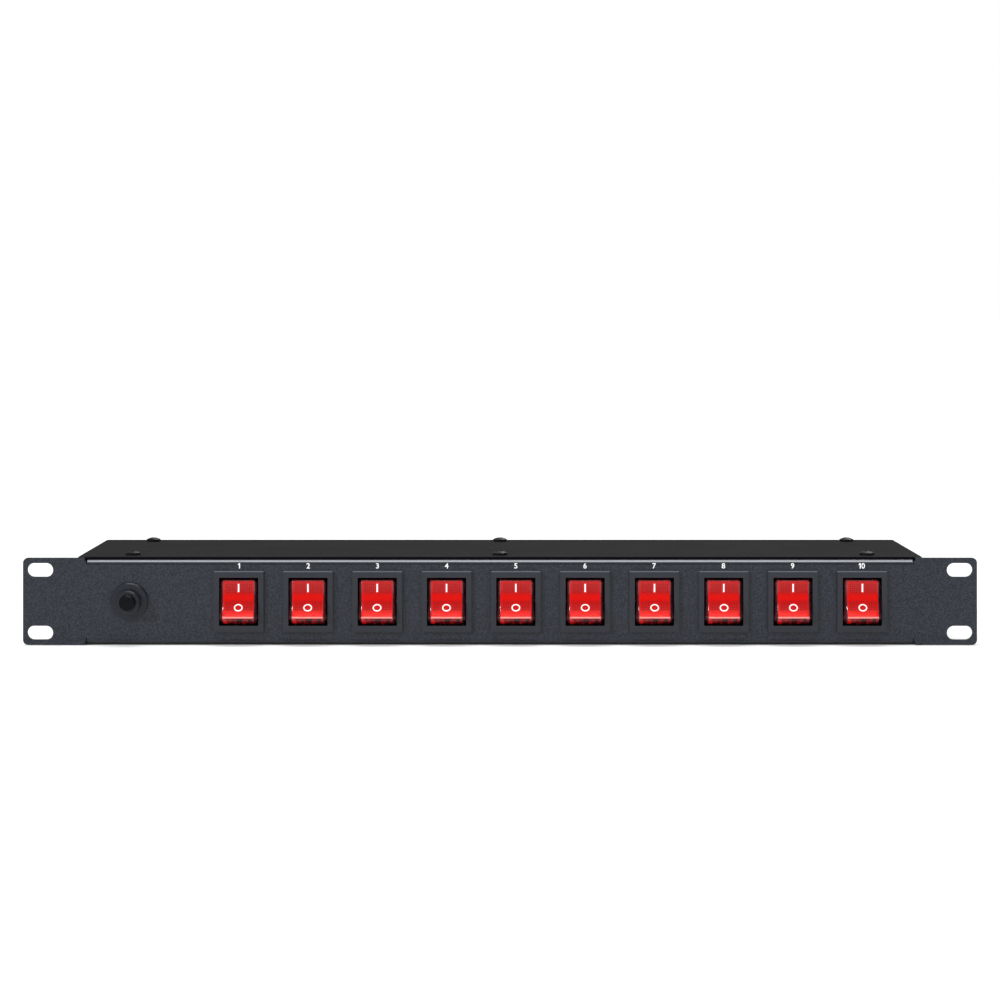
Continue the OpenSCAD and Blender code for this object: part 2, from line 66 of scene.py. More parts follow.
class Mat:
    """A node material with small helpers around one Principled shader."""

    def __init__(self, name, color, rough, metallic=0.0, **sockets):
        self.m = bpy.data.materials.new(name)
        self.m.use_nodes = True
        self.t = self.m.node_tree
        self.b = self.t.nodes["Principled BSDF"]
        self.b.inputs["Base Color"].default_value = color
        self.b.inputs["Roughness"].default_value = rough
        self.b.inputs["Metallic"].default_value = metallic
        for k, v in sockets.items():
            self.b.inputs[k.replace("_", " ")].default_value = v
        self.m.diffuse_color = color

    def n(self, kind, **props):
        node = self.t.nodes.new(kind)
        for k, v in props.items():
            setattr(node, k, v)
        return node

    def link(self, a, b):
        self.t.links.new(a, b)

    def coords(self):
        return self.n("ShaderNodeTexCoord").outputs["Object"]

    def noise(self, scale, detail=2.0, rough=0.5, vec=None, stretch=None):
        t = self.n("ShaderNodeTexNoise")
        t.inputs["Scale"].default_value = scale
        t.inputs["Detail"].default_value = detail
        t.inputs["Roughness"].default_value = rough
        v = vec or self.coords()
        if stretch:
            mp = self.n("ShaderNodeMapping")
            mp.inputs["Scale"].default_value = stretch
            self.link(v, mp.inputs["Vector"])
            v = mp.outputs["Vector"]
        self.link(v, t.inputs["Vector"])
        return t.outputs["Fac"]

    def ramp(self, fac, stops):
        r = self.n("ShaderNodeValToRGB")
        while len(r.color_ramp.elements) < len(stops):
            r.color_ramp.elements.new(0.5)
        for e, (p, c) in zip(r.color_ramp.elements, stops):
            e.position = p
            e.color = c
        self.link(fac, r.inputs["Fac"])
        return r.outputs["Color"]

    def math(self, op, a, b=None, clamp=False):
        m = self.n("ShaderNodeMath", operation=op, use_clamp=clamp)
        for i, v in enumerate((a, b)):
            if v is None:
                continue
            if isinstance(v, (int, float)):
                m.inputs[i].default_value = v
            else:
                self.link(v, m.inputs[i])
        return m.outputs[0]

    def mix(self, fac, a, b, blend="MIX"):
        m = self.n("ShaderNodeMix", data_type="RGBA", blend_type=blend)
        for s, v in ((m.inputs[0], fac), (m.inputs[6], a), (m.inputs[7], b)):
            if isinstance(v, (int, float, tuple)):
                s.default_value = v
            else:
                self.link(v, s)
        return m.outputs[2]

    def bump(self, height, strength, dist, prev=None):
        b = self.n("ShaderNodeBump")
        b.inputs["Strength"].default_value = strength
        b.inputs["Distance"].default_value = dist
        self.link(height, b.inputs["Height"])
        if prev:
            self.link(prev, b.inputs["Normal"])
        return b.outputs["Normal"]

    def normal(self, out):
        self.link(out, self.b.inputs["Normal"])

    def color(self, out):
        self.link(out, self.b.inputs["Base Color"])

    def rough(self, out):
        self.link(out, self.b.inputs["Roughness"])


def shade(c, k):
    return (min(c[0] * k, 1), min(c[1] * k, 1), min(c[2] * k, 1), 1)


def textured(name, color, rough, grain=900.0, var=0.22, depth=0.00012, strength=0.5, fine=2600.0, **kw):
    """Fine grained surface: powder coat or spark-eroded moulding."""
    m = Mat(name, color, rough, **kw)
    a = m.noise(grain, 2, 0.6)
    b = m.noise(fine, 1, 0.5)
    c = m.noise(38, 2, 0.5)
    f = m.math("ADD", m.math("MULTIPLY", a, 0.72), m.math("MULTIPLY", b, 0.28))
    col = m.ramp(f, [(0.40, shade(color, 1 - var)), (0.5, color), (0.61, shade(color, 1 + 1.6 * var))])
    m.color(m.mix(m.math("MULTIPLY", c, 0.22), col, shade(color, 0.78)))
    m.rough(m.math("ADD", m.math("MULTIPLY", c, 0.14), rough - 0.07))
    m.normal(m.bump(b, strength * 0.6, depth * 0.6, m.bump(a, strength, depth)))
    return m.m


def moulded(name, color, rough, **kw):
    """Smooth moulded plastic with faint flow marks and handling wear."""
    m = Mat(name, color, rough, **kw)
    a = m.noise(160, 4, 0.6)
    b = m.noise(2200, 2, 0.5)
    m.color(m.ramp(a, [(0.3, shade(color, 0.86)), (0.7, shade(color, 1.18))]))
    m.rough(m.math("ADD", m.math("MULTIPLY", a, 0.2), rough - 0.1))
    m.normal(m.bump(b, 0.25, 0.00004))
    return m.m


def metal(name, color, rough, stretch=(1, 1, 1)):
    m = Mat(name, color, rough, 1.0)
    a = m.noise(900, 4, 0.7, stretch=stretch)
    b = m.noise(90, 2, 0.5)
    m.color(m.ramp(b, [(0.3, shade(color, 0.8)), (0.7, color)]))
    m.rough(m.math("ADD", m.math("MULTIPLY", a, 0.25), rough - 0.1))
    m.normal(m.bump(a, 0.2, 0.00003))
    return m.m


panel_paint = textured("panel_paint", srgb(31, 35, 44), 0.42, grain=1350, fine=2700, var=0.6, depth=0.00009, strength=0.5, Specular_IOR_Level=0.2, Coat_Weight=0.25, Coat_Roughness=0.2)
case_paint = textured("case_paint", srgb(48, 48, 49), 0.5, Specular_IOR_Level=0.28, grain=1300, fine=2600, var=0.5, depth=0.00012, strength=0.5)
cover_paint = textured("cover_paint", srgb(33, 33, 33), 0.85, Specular_IOR_Level=0.04, grain=1300, fine=2600, var=0.3, depth=0.00008, strength=0.4)
def edge_shadow(mat, y0, y1):
    """Darkens the paint in the narrow gap at one edge, from y0 to y1 in metres."""
    t = mat.node_tree
    b = t.nodes["Principled BSDF"]
    src = b.inputs["Base Color"].links[0].from_socket
    tc = t.nodes.new("ShaderNodeTexCoord")
    sp = t.nodes.new("ShaderNodeSeparateXYZ")
    mr = t.nodes.new("ShaderNodeMapRange")
    mr.inputs["From Min"].default_value = y0
    mr.inputs["From Max"].default_value = y1
    mx = t.nodes.new("ShaderNodeMix")
    mx.data_type = "RGBA"
    mx.inputs[6].default_value = (0.004, 0.004, 0.005, 1)
    t.links.new(tc.outputs["Object"], sp.inputs[0])
    t.links.new(sp.outputs[1], mr.inputs["Value"])
    t.links.new(mr.outputs["Result"], mx.inputs[0])
    t.links.new(src, mx.inputs[7])
    t.links.new(mx.outputs[2], b.inputs["Base Color"])


edge_shadow(cover_paint, 0.00095, 0.0016)


def painted_highlight_lines(mat, z_top, x_end, lines):
    """Lighter or darker lines of (from, to, softness, colour, amount) along an edge at z_top: a painted highlight along
    a bend, and a darker painted line just under it.
    """
    t = mat.node_tree
    b = t.nodes["Principled BSDF"]
    src = b.inputs["Base Color"].links[0].from_socket
    tc = t.nodes.new("ShaderNodeTexCoord")
    sp = t.nodes.new("ShaderNodeSeparateXYZ")
    t.links.new(tc.outputs["Object"], sp.inputs[0])

    def op(kind, p, q):
        n = t.nodes.new("ShaderNodeMath")
        n.operation = kind
        for k, v in enumerate((p, q)):
            if isinstance(v, (int, float)):
                n.inputs[k].default_value = v
            else:
                t.links.new(v, n.inputs[k])
        return n.outputs[0]

    inside = op("LESS_THAN", op("ABSOLUTE", sp.outputs[0], 0), x_end)
    for lo, hi, soft, col, amount in lines:
        lo, hi = z_top + lo, z_top + hi
        up = op("DIVIDE", op("SUBTRACT", sp.outputs[2], lo), soft)
        dn = op("DIVIDE", op("SUBTRACT", hi, sp.outputs[2]), soft)
        f = op("MINIMUM", op("MAXIMUM", op("MINIMUM", up, dn), 0.0), 1.0)
        f = op("MULTIPLY", op("MULTIPLY", f, inside), amount)
        mx = t.nodes.new("ShaderNodeMix")
        mx.data_type = "RGBA"
        mx.inputs[7].default_value = col
        t.links.new(f, mx.inputs[0])
        t.links.new(src, mx.inputs[6])
        src = mx.outputs[2]
    t.links.new(src, b.inputs["Base Color"])


# painted highlight along the panel's top bend, with a darker painted line just under it
painted_highlight_lines(panel_paint, 0.021, 0.2088, [(-0.0013, -0.00015, 0.00035, srgb(172, 174, 180), 0.62), (-0.0026, -0.0016, 0.0003, (0.006, 0.007, 0.009, 1), 0.6)])


def painted_edge_glint(mat, y0, col):
    """Painted highlight: the sheet's rear edge, past y0 in metres, is painted in a lighter colour."""
    t = mat.node_tree
    b = t.nodes["Principled BSDF"]
    src = b.inputs["Base Color"].links[0].from_socket
    tc = t.nodes.new("ShaderNodeTexCoord")
    sp = t.nodes.new("ShaderNodeSeparateXYZ")
    gt = t.nodes.new("ShaderNodeMath")
    gt.operation = "GREATER_THAN"
    gt.inputs[1].default_value = y0
    mx = t.nodes.new("ShaderNodeMix")
    mx.data_type = "RGBA"
    mx.inputs[7].default_value = col
    t.links.new(tc.outputs["Object"], sp.inputs[0])
    t.links.new(sp.outputs[1], gt.inputs[0])
    t.links.new(gt.outputs[0], mx.inputs[0])
    t.links.new(src, mx.inputs[6])
    t.links.new(mx.outputs[2], b.inputs["Base Color"])


# painted highlight on the cover's rear sheet edge
painted_edge_glint(cover_paint, 0.09965, srgb(112, 112, 113))
bezel_mat = textured("switch_black", srgb(37, 40, 47), 0.34, Specular_IOR_Level=0.3, grain=1500, fine=3000, var=0.06, depth=0.00003, strength=0.25)
# painted highlight along the bezels' top edge
painted_highlight_lines(bezel_mat, 0.0155, 1.0, [(-0.0006, 0.0004, 0.0002, srgb(128, 132, 140), 0.5)])
outlet_mat = textured("outlet_grey", srgb(80, 80, 80), 0.5, Specular_IOR_Level=0.35, grain=1400, fine=3000, var=0.14, depth=0.00005, strength=0.4)
screw_mat = moulded("black_screws", srgb(17, 17, 18), 0.42, Specular_IOR_Level=0.12)
nut_mat = textured("ring_nut_black", srgb(32, 35, 42), 0.3, Specular_IOR_Level=0.22, grain=1500, fine=3000, var=0.06, depth=0.00003, strength=0.25)
button_mat = moulded("button_black", srgb(7, 9, 13), 0.3, Specular_IOR_Level=0.09)
nylon_mat = moulded("nylon_black", srgb(23, 23, 24), 0.27, Specular_IOR_Level=0.4)
seal_mat = moulded("seal_rubber", srgb(16, 16, 16), 0.6)
m = Mat("contact_metal", (0.83, 0.78, 0.66, 1), 0.25, 1.0)
a = m.noise(900, 4, 0.7)
sp = m.n("ShaderNodeSeparateXYZ")
m.link(m.coords(), sp.inputs[0])
# painted shade: the contacts turn near black and rougher deeper than y 93.5 mm inside the outlet holes
deep = m.math("DIVIDE", m.math("SUBTRACT", sp.outputs[1], 0.0935), 0.0022, clamp=True)
m.color(m.mix(deep, (0.012, 0.011, 0.010, 1), m.mix(a, (0.88, 0.84, 0.74, 1), (0.72, 0.66, 0.54, 1))))
m.rough(m.math("ADD", m.math("MULTIPLY", m.math("SUBTRACT", 1.0, deep), 0.5), 0.2))
m.normal(m.bump(a, 0.2, 0.00003))
contact_mat = m.m
brass_mat = metal("contact_brass", (0.78, 0.58, 0.27, 1), 0.25)
tinned_mat = metal("tinned", (0.72, 0.72, 0.73, 1), 0.3)
lamp_mat = Mat("lamp_glass", (1, 0.45, 0.18, 1), 0.08, Transmission_Weight=0.6).m
brown_mat = moulded("wire_brown", srgb(96, 60, 38), 0.4)
red_mat = moulded("wire_red", srgb(150, 38, 34), 0.4)
blue_mat = moulded("wire_blue", srgb(52, 92, 160), 0.4)
plug_mat = moulded("plug_black", srgb(30, 30, 31), 0.42)
print_mat = moulded("white_print", srgb(252, 252, 252), 0.5)
ink_mat = moulded("dark_print", srgb(58, 58, 60), 0.5)
ring_ink_mat = moulded("black_print", srgb(22, 22, 23), 0.5)

# cord jacket: satin PVC with faint long flow lines
m = Mat("cord_pvc", srgb(20, 20, 20), 0.3, Specular_IOR_Level=0.35)
a = m.noise(260, 3, 0.55)
m.color(m.ramp(a, [(0.3, srgb(15, 15, 15)), (0.7, srgb(26, 26, 26))]))
m.rough(m.math("ADD", m.math("MULTIPLY", a, 0.2), 0.26))
m.normal(m.bump(m.noise(1500, 2, 0.5), 0.25, 0.00005))
cord_mat = m.m

# woven hook-and-loop strap
m = Mat("tie_fabric", srgb(22, 22, 23), 0.85, Sheen_Weight=0.4)
w = m.n("ShaderNodeTexWave", wave_type="BANDS", bands_direction="DIAGONAL")
w.inputs["Scale"].default_value = 900
w.inputs["Distortion"].default_value = 2
m.link(m.coords(), w.inputs["Vector"])
m.color(m.ramp(w.outputs["Fac"], [(0.2, srgb(14, 14, 15)), (0.8, srgb(34, 34, 36))]))
m.normal(m.bump(m.noise(1600, 3, 0.6), 0.8, 0.0002, m.bump(w.outputs["Fac"], 0.6, 0.0002)))
tie_mat = m.m


def rocker_material():
    """Red translucent moulding. UV holds the face's own x and z in units of 20 mm."""
    m = Mat("rocker_red", srgb(214, 18, 14), 0.2, Specular_IOR_Level=0.14, Coat_Weight=0.08, Coat_Roughness=0.05, Subsurface_Weight=0.15)
    m.b.inputs["Subsurface Radius"].default_value = (0.004, 0.0004, 0.0003)
    m.b.inputs["Subsurface Scale"].default_value = 1.0
    uv = m.n("ShaderNodeUVMap", uv_map="face").outputs["UV"]
    sep = m.n("ShaderNodeSeparateXYZ")
    m.link(uv, sep.inputs[0])
    x = m.math("MULTIPLY", m.math("SUBTRACT", sep.outputs[0], 0.5), 20.0)
    z = m.math("MULTIPLY", m.math("SUBTRACT", sep.outputs[1], 0.5), 24.0)
    ax = m.math("ABSOLUTE", x)

    def band(v, lo, hi, soft=0.25):
        up = m.math("DIVIDE", m.math("SUBTRACT", v, lo), soft, clamp=True)
        dn = m.math("DIVIDE", m.math("SUBTRACT", hi, v), soft, clamp=True)
        return m.math("MULTIPLY", up, dn)

    zone = m.math("ADD", band(z, 2.2, 9.0, 1.6), band(z, -6.4, 0.0, 1.4), clamp=True)
    zone = m.math("MULTIPLY", zone, m.math("DIVIDE", m.math("SUBTRACT", 7.0, ax), 0.25, clamp=True))
    # plain field round each mark
    keep = m.math("MULTIPLY", band(ax, -5, 1.2), m.math("GREATER_THAN", z, 0.0))
    dz = m.math("ADD", z, 4.1)
    rr = m.math("SQRT", m.math("ADD", m.math("MULTIPLY", x, x), m.math("MULTIPLY", dz, dz)))
    keep = m.math("MAXIMUM", keep, m.math("LESS_THAN", rr, 2.8))
    zone = m.math("MULTIPLY", zone, m.math("SUBTRACT", 1.0, keep))
    pitch = 1.04
    gx = m.math("SINE", m.math("MULTIPLY", x, 2 * math.pi / pitch))
    gz = m.math("SINE", m.math("MULTIPLY", z, 2 * math.pi / pitch))
    dots = m.math("MULTIPLY", m.math("MULTIPLY", m.math("ADD", gx, 1.0), m.math("ADD", gz, 1.0)), 0.32, clamp=True)
    dots = m.math("MULTIPLY", dots, zone)
    # deeper at the top, brightest across the middle, with a painted highlight band along the lower lip (0.108 to 0.130)
    # and painted shade on the recessed top end (from 0.892)
    tone = m.ramp(m.math("DIVIDE", m.math("ADD", z, 12.0), 24.0), [
        (0.0, srgb(70, 6, 10)), (0.07, srgb(126, 10, 12)), (0.100, srgb(160, 22, 22)), (0.108, srgb(250, 160, 152)), (0.130, srgb(250, 150, 142)), (0.142, srgb(216, 26, 20)),
        (0.2, srgb(222, 18, 12)), (0.25, srgb(214, 40, 36)), (0.29, srgb(190, 26, 24)), (0.44, srgb(186, 14, 12)), (0.54, srgb(208, 12, 6)), (0.6, srgb(198, 14, 10)), (0.68, srgb(180, 18, 19)), (0.874, srgb(186, 28, 28)), (0.892, srgb(52, 16, 21)), (1.0, srgb(34, 15, 20))])
    grain = m.noise(420, 3, 0.6)
    tone = m.mix(m.math("MULTIPLY", grain, 0.2), tone, srgb(150, 8, 8))
    col = m.mix(m.math("MULTIPLY", dots, 0.8), tone, srgb(84, 14, 20))
    m.color(col)
    m.link(m.mix(0.5, col, srgb(255, 20, 10)), m.b.inputs["Emission Color"])
    m.b.inputs["Emission Strength"].default_value = 0.04
    m.normal(m.bump(dots, 0.3, 0.00015, m.bump(m.noise(300, 2, 0.5), 0.06, 0.0001)))
    return m.m


rocker_mat = rocker_material()
m = Mat("rocker_edge", srgb(52, 8, 12), 0.14, Specular_IOR_Level=0.45, Coat_Weight=0.4, Coat_Roughness=0.05)
g = m.noise(240, 3, 0.6)
m.color(m.ramp(g, [(0.34, srgb(38, 22, 27)), (0.66, srgb(82, 22, 30))]))
m.normal(m.bump(g, 0.12, 0.0002))
edge_mat = m.m
m = Mat("rocker_end", srgb(110, 8, 12), 0.2, Specular_IOR_Level=0.3, Coat_Weight=0.1, Coat_Roughness=0.08)
g = m.noise(300, 2, 0.5, stretch=(1, 0.3, 0.3))
ends = m.n("ShaderNodeSeparateXYZ")
m.link(m.n("ShaderNodeUVMap", uv_map="face").outputs["UV"], ends.inputs[0])
# painted shade: the top end, recessed when pressed in, is painted dark; the bottom end keeps the red tone of the
# moulding that lets the lamp through
m.color(m.mix(m.math("MULTIPLY", m.math("GREATER_THAN", ends.outputs[1], 0.75), 0.86), m.ramp(g, [(0.4, srgb(52, 4, 8)), (0.5, srgb(122, 8, 12)), (0.62, srgb(196, 14, 18))]), srgb(24, 12, 17)))
m.normal(m.bump(g, 0.12, 0.0002))
end_mat = m.m


# ---------------------------------------------------------------- mesh helpers
def obj_from(name, bm, mats, body=CASE, smooth=True, angle=None):
    me = bpy.data.meshes.new(name)
    bmesh.ops.recalc_face_normals(bm, faces=bm.faces)
    bm.to_mesh(me)
    bm.free()
    for mt in mats if isinstance(mats, (list, tuple)) else [mats]:
        me.materials.append(mt)
    if smooth:
        for p in me.polygons:
            p.use_smooth = True
        me.set_sharp_from_angle(angle=math.radians(angle or 35))
    o = bpy.data.objects.new(name, me)
    scene.collection.objects.link(o)
    if body:
        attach(o, body)
    return o


def add_ring_mesh(bm, rings, closed_u=True, cap=True, mat=0):
    """Loft between rings of points (lists of Vectors)."""
    vs = [[bm.verts.new(p) for p in ring] for ring in rings]
    n = len(vs[0])
    for a, b in zip(vs, vs[1:]):
        for k in range(n if closed_u else n - 1):
            f = bm.faces.new((a[k], a[(k + 1) % n], b[(k + 1) % n], b[k]))
            f.material_index = mat
    if cap:
        for ring in (vs[0], vs[-1]):
            f = bm.faces.new(ring)
            f.material_index = mat
    return vs


def circle_ring(center, axis, r, n, phase=0.0, squash=1.0):
    axis = Vector(axis).normalized()
    ref = Vector((0, 0, 1)) if abs(axis.z) < 0.9 else Vector((1, 0, 0))
    u = axis.cross(ref).normalized()
    v = axis.cross(u)
    return [Vector(center) + r * (math.cos(2 * math.pi * k / n + phase) * u + squash * math.sin(2 * math.pi * k / n + phase) * v) for k in range(n)]


def lathe(bm, profile, origin, axis, n=48, mat=0, cap=True):
    """profile: (distance along axis, radius) pairs, in mm."""
    axis = Vector(axis)
    rings = [circle_ring((Vector(origin) + axis * d) * MM, axis, max(r, 0.001) * MM, n) for d, r in profile]
    return add_ring_mesh(bm, rings, cap=cap, mat=mat)


# ---------------------------------------------------------------- power cord
CORD_R = 4.75
R1 = 59.0
STEP = 9.6
CX, CY = -186 - 16 + R1, 208.0
Z0 = FLOOR + 0.8 + CORD_R
LEAD = [(-186, 96, 0), (-186, 110, 0), (-186.2, 124, 0), (-187.6, 137, -1.2), (-191, 150, -4.8), (-196, 163, -9.8), (-201.4, 176, -14.2), (-205.6, 189, -16.4), (-207.4, 202, -16.7), (-206.6, 215, -16.7), (-203, 228, -16.7), (-195.1, 239.3, -16.7)]
TAIL = [(-118, 262.4, -7), (-108.4, 259.8, -7.3), (-98.7, 257.2, -8.6), (-89.1, 254.6, -10.9), (-79.4, 252.1, -13.4), (-69.7, 249.5, -15.6), (-60.1, 246.9, -16.9), (-50.4, 244.3, -17.4), (-40.8, 241.7, -17.4)]


def sstep(t):
    t = max(0.0, min(1.0, t))
    return t * t * t * (t * (6 * t - 15) + 10)


def coil_points():
    """Two turns in, a climb, then back out on top, clockwise from above."""
    radii = [R1, R1 - STEP, R1 - 2 * STEP, R1 - STEP, R1]
    pts = []
    for total in range(45, 4 * 360 + 106, 10):
        turn, a = total // 360, 180 - total % 360
        t = sstep((-30 - a) / 145.0)
        r = radii[turn] * (1 - t) + radii[min(turn + 1, 4)] * t
        z = 0.0 if turn < 2 else 9.6
        if turn == 2:
            z = 9.6 * sstep((165 - a) / 195.0)
        pts.append((CX + r * math.cos(math.radians(a)), CY + r * math.sin(math.radians(a)), Z0 + z))
    return pts


def resample(p, step):
    out = []
    pts = [Vector(q) for q in p]
    dense = []
    for i in range(len(pts) - 1):
        a, b, c, d = pts[max(i - 1, 0)], pts[i], pts[i + 1], pts[min(i + 2, len(pts) - 1)]
        for j in range(12):
            t = j / 12
            dense.append(0.5 * (2 * b + (c - a) * t + (2 * a - 5 * b + 4 * c - d) * t * t + (3 * b - a - 3 * c + d) * t ** 3))
    dense.append(pts[-1])
    total = sum((dense[i + 1] - dense[i]).length for i in range(len(dense) - 1))
    n = int(total / step)
    want, acc, k = [total * i / n for i in range(n + 1)], 0.0, 0
    for w in want:
        while k < len(dense) - 2 and acc + (dense[k + 1] - dense[k]).length < w:
            acc += (dense[k + 1] - dense[k]).length
            k += 1
        seg = (dense[k + 1] - dense[k]).length
        out.append(dense[k].lerp(dense[k + 1], min(1.0, (w - acc) / seg if seg else 0)))
    for _ in range(6):
        out = [out[0]] + [(out[i - 1] + out[i] * 2 + out[i + 1]) / 4 for i in range(1, len(out) - 1)] + [out[-1]]
    return out, total


route, cord_len = resample(LEAD + coil_points() + TAIL, 4.0)
cu = bpy.data.curves.new("power_cord_curve", "CURVE")
cu.dimensions = "3D"
cu.bevel_depth = CORD_R * MM
cu.bevel_resolution = 7
cu.use_fill_caps = True
sp = cu.splines.new("POLY")
sp.points.add(len(route) - 1)
for pt, q in zip(sp.points, route):
    pt.co = (q.x * MM, q.y * MM, q.z * MM, 1)
sp.use_smooth = True
cu.materials.append(cord_mat)
cord = bpy.data.objects.new("power_cord_run", cu)
scene.collection.objects.link(cord)
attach(cord, CASE)
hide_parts("power_cord", "cord_coil", "cord_tail")


# straps that hug the coil's cross-section
def hull2(points):
    pts = sorted(points)

    def half(seq):
        h = []
        for p in seq:
            while len(h) > 1 and (h[-1][0] - h[-2][0]) * (p[1] - h[-2][1]) - (h[-1][1] - h[-2][1]) * (p[0] - h[-2][0]) <= 0:
                h.pop()
            h.append(p)
        return h[:-1]

    return half(pts) + half(pts[::-1])


def strap(name, deg):
    d = Vector((math.cos(math.radians(deg)), math.sin(math.radians(deg)), 0))
    t = Vector((-d.y, d.x, 0))
    rings = []
    for off in (-6.0, -5.6, -3.0, 0.0, 3.0, 5.6, 6.0):
        cen = []
        for q in route:
            rel = q - Vector((CX, CY, 0))
            if abs(rel.dot(t) - off) < 3.2 and rel.dot(d) > 20:
                cen.append((rel.dot(d), q.z))
        loops = []
        for grow in (0.25, 0.95):
            pts = []
            for (r, z) in cen:
                for k in range(40):
                    a = 2 * math.pi * k / 40
                    pts.append((r + (CORD_R + grow) * math.cos(a), max(z + (CORD_R + grow) * math.sin(a), FLOOR + (0.02 if grow > 0.5 else 0.7))))
            h = hull2(pts)
            # even resample round the loop
            per = [math.dist(h[i], h[(i + 1) % len(h)]) for i in range(len(h))]
            tot = sum(per)
            i0 = min(range(len(h)), key=lambda i: (h[i][1], h[i][0]))
            h = h[i0:] + h[:i0]
            per = per[i0:] + per[:i0]
            n, res, acc, k = 96, [], 0.0, 0
            for j in range(n):
                w = tot * j / n
                while acc + per[k] < w:
                    acc += per[k]
                    k += 1
                f = (w - acc) / per[k]
                a, b = h[k], h[(k + 1) % len(h)]
                res.append((a[0] + (b[0] - a[0]) * f, a[1] + (b[1] - a[1]) * f))
            loops.append(res)
        rings.append((off, loops))
    bm = bmesh.new()
    grid = []
    for off, (inner, outer) in rings:
        edge = 0.25 if abs(off) > 5.9 else 0.0
        ri, ro = [], []
        for (a, b), (c, e) in zip(inner, outer):
            c, e = c + (a - c) * edge, e + (b - e) * edge
            for row, (r, z) in ((ri, (a, b)), (ro, (c, e))):
                row.append(bm.verts.new((Vector((CX, CY, 0)) + d * r + t * off + Vector((0, 0, z))) * MM))
        grid.append((ri, ro))
    n = 96
    for (ai, ao), (bi, bo) in zip(grid, grid[1:]):
        for k in range(n):
            bm.faces.new((ao[k], ao[(k + 1) % n], bo[(k + 1) % n], bo[k]))
            bm.faces.new((ai[k], bi[k], bi[(k + 1) % n], ai[(k + 1) % n]))
    for (ri, ro), flip in ((grid[0], False), (grid[-1], True)):
        for k in range(n):
            f = (ri[k], ri[(k + 1) % n], ro[(k + 1) % n], ro[k])
            bm.faces.new(f[::-1] if flip else f)
    return obj_from(name, bm, tie_mat, angle=40)


strap_a = strap("cord_strap_a", 20)
strap_b = strap("cord_strap_b", -70)
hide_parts("cord_ties")


# plug: tapered ribbed relief and a rounded grip, lying on the floor
def plug():
    bm = bmesh.new()
    pz = -17.4
    turn = Matrix.Translation(Vector((-40.8, 241.7, 0)) * MM) @ Matrix.Rotation(math.radians(-15), 4, "Z")

    def section(x, hw, hh, zc, p, n=48):
        pts = []
        for k in range(n):
            a = 2 * math.pi * k / n
            c, s = math.cos(a), math.sin(a)
            y = hw * math.copysign(abs(c) ** (2 / p), c)
            z = hh * math.copysign(abs(s) ** (2 / p), s)
            pts.append(turn @ (Vector((x, y, max(zc + z, FLOOR + 0.02))) * MM))
        return pts

    rings = []
    # relief: rings that grow towards the head
    rings.append(section(-1.0, 4.85, 4.85, pz, 2))
    for i in range(6):
        x0 = -0.6 + i * 4.1
        r = 5.0 + i * 0.38
        zc = max(pz, FLOOR + r + 0.02) + i * 0.3
        rings.append(section(x0, r - 0.1, r - 0.1, zc, 2))
        rings.append(section(x0 + 0.35, r + 0.35, r + 0.35, zc, 2))
        rings.append(section(x0 + 2.1, r + 0.35, r + 0.35, zc, 2))
        rings.append(section(x0 + 2.5, r - 0.55, r - 0.55, zc, 2))
        rings.append(section(x0 + 3.7, r - 0.5, r - 0.5, zc, 2))
    zc = FLOOR + 12.0
    for x, hw, hh, p in ((24.0, 6.8, 6.6, 2.2), (25.4, 8.0, 7.8, 2.6), (27.4, 9.2, 8.8, 3.0), (30.2, 9.5, 9.0, 3.2), (32.2, 9.9, 9.6, 3.2), (34.0, 11.4, 11.0, 3.6), (35.6, 12.2, 11.8, 4.0), (38.0, 12.5, 12.0, 4.4), (54.0, 12.5, 12.0, 4.6), (57.6, 12.4, 11.9, 4.6), (58.4, 12.0, 11.5, 4.6), (58.7, 11.2, 10.8, 4.6)):
        rings.append(section(x, hw, hh, zc, p))
    add_ring_mesh(bm, rings)
    # grip ribs on the upper and side faces
    for i in range(5):
        x = 41.0 + i * 2.9
        a = section(x - 0.7, 12.45, 11.95, zc, 4.4)
        b = section(x - 0.35, 12.5, 12.55, zc, 4.4)
        c = section(x + 0.35, 12.5, 12.55, zc, 4.4)
        d = section(x + 0.7, 12.45, 11.95, zc, 4.4)
        lo = section(x - 0.7, 11.6, 11.1, zc, 4.4)
        hi = section(x + 0.7, 11.6, 11.1, zc, 4.4)
        add_ring_mesh(bm, [lo, a, b, c, d, hi])
    return obj_from("plug_head", bm, plug_mat, angle=50)


plug_obj = plug()
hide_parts("plug_body")


# ---------------------------------------------------------------- CAD nodes: materials and softened edges
def cad(node, mat, bevel=None, seg=2, limit=40):
    o = bpy.data.objects[node]
    o.data.materials.clear()
    o.data.materials.append(mat)
    if bevel:
        b = o.modifiers.new("edge", "BEVEL")
        b.width = bevel * MM
        b.segments = seg
        b.limit_method = "ANGLE"
        b.angle_limit = math.radians(limit)
        b.use_clamp_overlap = True
        b.harden_normals = False
        b.miter_outer = "MITER_ARC"
    return o


cad("front_panel", panel_paint, 0.3)
cad("chassis_tray", case_paint, 0.25)
cad("top_cover", cover_paint, 0.3)
cad("cover_screws", screw_mat, 0.12)
cad("base_screws", screw_mat, 0.12)
cad("switch_housings", bezel_mat, 0.22)
cad("switch_terminals", tinned_mat, 0.1)
cad("switch_lamps", lamp_mat)
for i in range(N):
    cad("outlet_%02d" % (i + 1), outlet_mat, 0.2)
    cad("contact_arm_%02d" % (i + 1), brass_mat, 0.1)
cad("outlet_contacts", contact_mat)
cad("breaker_housing", nut_mat, 0.25)
cad("breaker_button", button_mat, 0.4, 3)
cad("breaker_ring_nut", nut_mat, 0.2)
cad("breaker_terminals", tinned_mat, 0.1)
cad("gland_body", nylon_mat, 0.25)
cad("gland_locknut", nylon_mat, 0.3)
cad("gland_seal", seal_mat, 0.3)
cad("gland_dome_nut", nylon_mat, 0.3)
